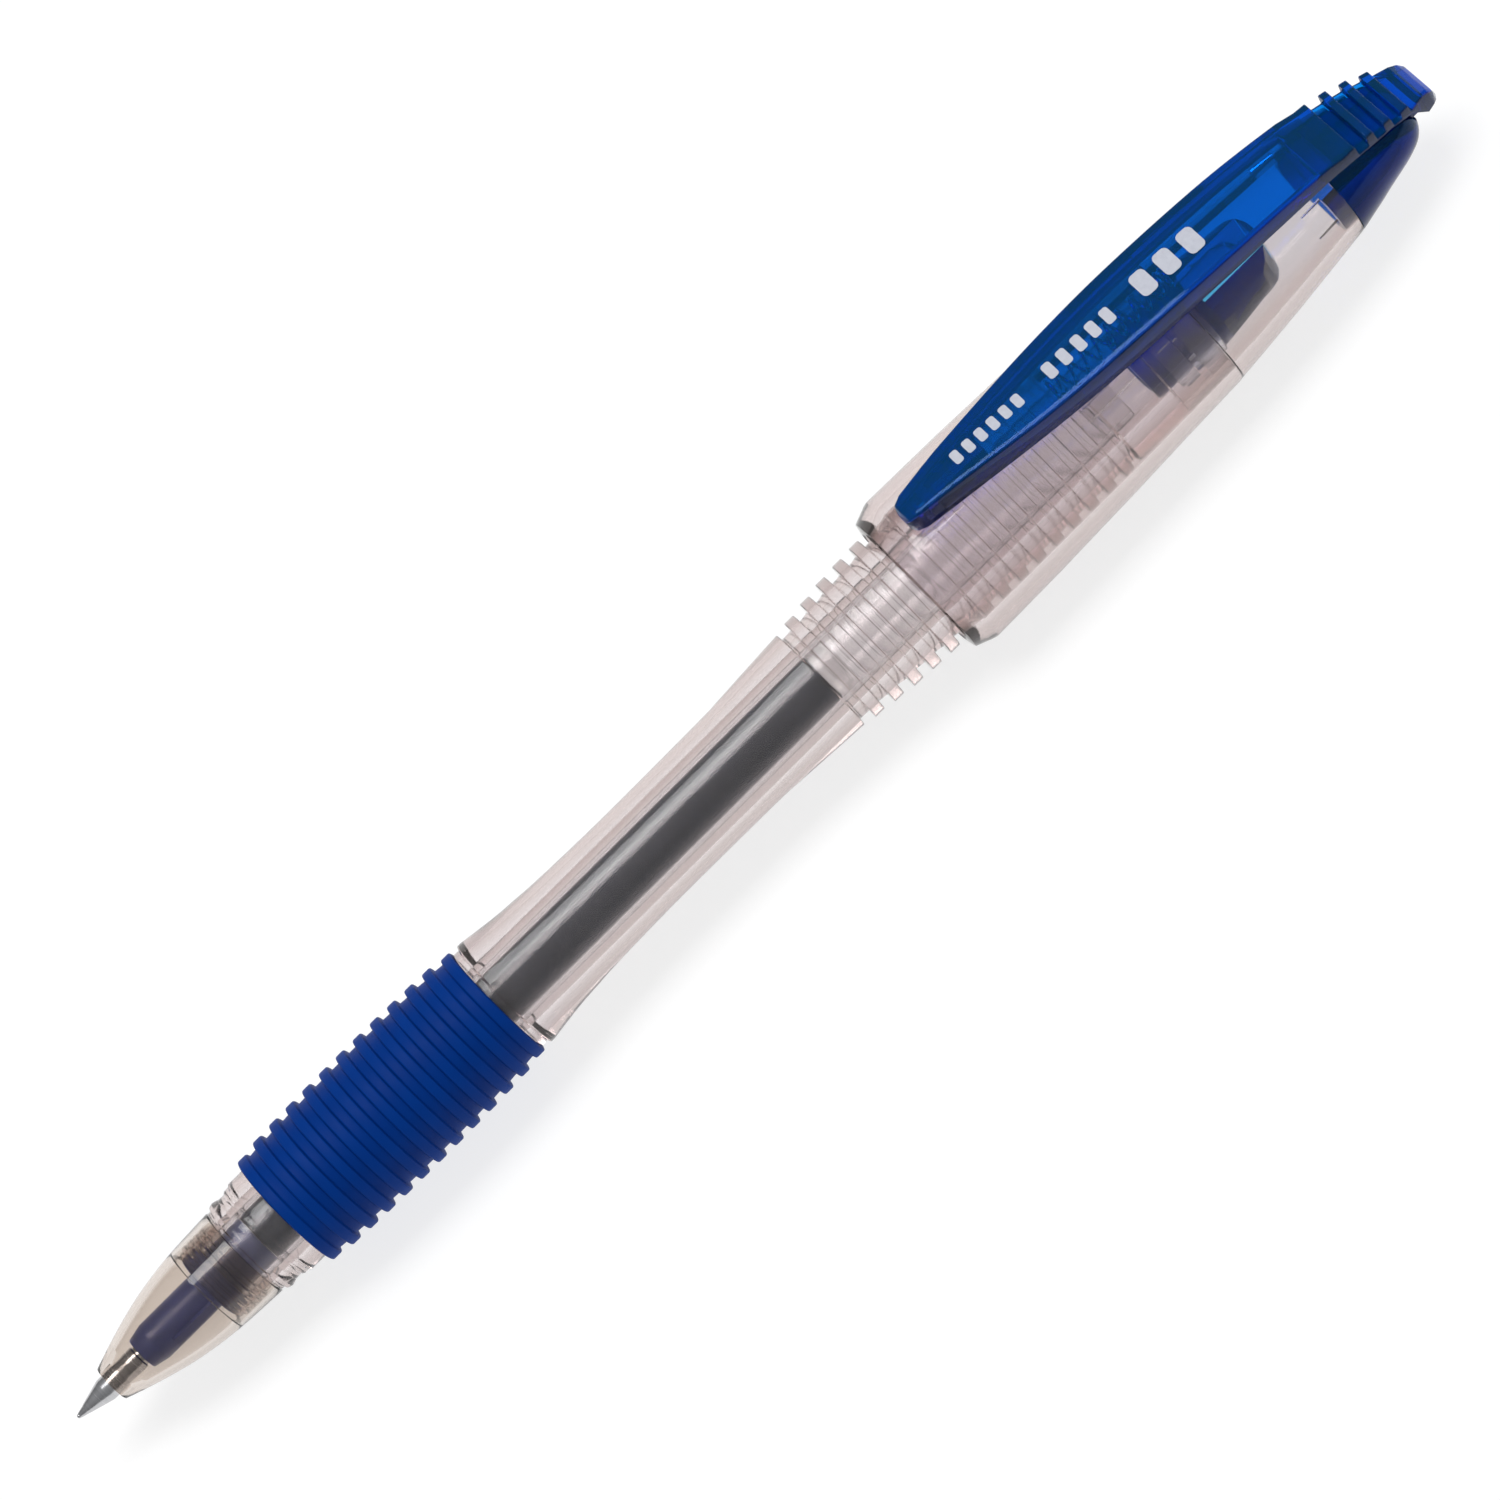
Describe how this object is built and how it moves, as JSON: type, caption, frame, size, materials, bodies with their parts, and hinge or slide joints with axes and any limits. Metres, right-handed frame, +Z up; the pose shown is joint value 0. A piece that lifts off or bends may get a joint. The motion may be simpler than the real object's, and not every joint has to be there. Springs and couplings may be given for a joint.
{
  "type": "gel pen",
  "caption": "Retractable gel pen: clear nose, ribbed rubber grip, slim frosted barrel, wide upper barrel with a sliding blue clip that works the refill, translucent tail cap",
  "frame": {"origin": "middle of the pen's length and width, at the height of its lowest line", "axes": "+X from the writing tip to the thumb knob along the pen's axis, +Z up through the clip, +Y across the pen"},
  "size_m": [0.145, 0.0144, 0.0173],
  "materials": {
    "ball_steel": "hard polished ball",
    "tip_steel": "turned stainless steel, fine tool marks",
    "spring_steel": "drawn wire",
    "navy_plastic": "moulded, slightly translucent",
    "tube_plastic": "milky clear tube",
    "gel_ink": "wet dark blue-black gel",
    "follower_gel": "clear grease",
    "plug_plastic": "natural plastic",
    "clear_plastic": "clear polished",
    "frosted_plastic": "frosted, faint warm tint",
    "grip_rubber": "satin elastomer",
    "blue_plastic": "glossy, deep translucent blue",
    "cam_plastic": "natural plastic",
    "print_white": "pad-printed white ink on the clip, in the visual only"
  },
  "bodies": {
    "barrel": {"lower_barrel": "frosted_plastic", "grip_sleeve": "grip_rubber", "upper_barrel": "frosted_plastic", "tail_cap": "blue_plastic", "cam_sleeve": "cam_plastic", "return_spring": "spring_steel"},
    "nose": {"nose_cone": "clear_plastic"},
    "knock": {"clip_slider": "blue_plastic", "cam_crown": "cam_plastic"},
    "rotor": {"cam_rotor": "cam_plastic"},
    "refill": {"writing_ball": "ball_steel", "writing_tip": "tip_steel", "ball_spring": "spring_steel", "tip_holder": "navy_plastic", "ink_tube": "tube_plastic", "ink_column": "gel_ink", "ink_follower": "follower_gel", "tail_plug": "plug_plastic"}
  },
  "joints": [
    {"name": "knock_slide", "type": "slide", "parent": "barrel", "child": "knock", "axis": [1, 0, 0], "range_m": [0, 0.0055], "deforming": ["return_spring"]},
    {"name": "refill_slide", "type": "slide", "parent": "barrel", "child": "refill", "axis": [1, 0, 0], "range_m": [0, 0.0055]},
    {"name": "rotor_turn", "type": "hinge", "parent": "knock", "child": "rotor", "pos_m": [0.0435, 0, 0.00719], "axis": [1, 0, 0], "range_deg": [0, 45.2]},
    {"name": "nose_unscrew", "type": "slide", "parent": "barrel", "child": "nose", "axis": [-1, 0, 0], "range_m": [0, 0.006]}
  ],
  "couplings": [
    {"joint": "refill_slide", "follows": "knock_slide", "ratio": 1},
    {"joint": "rotor_turn", "follows": "knock_slide", "rad_per_m": 142.8}
  ]
}
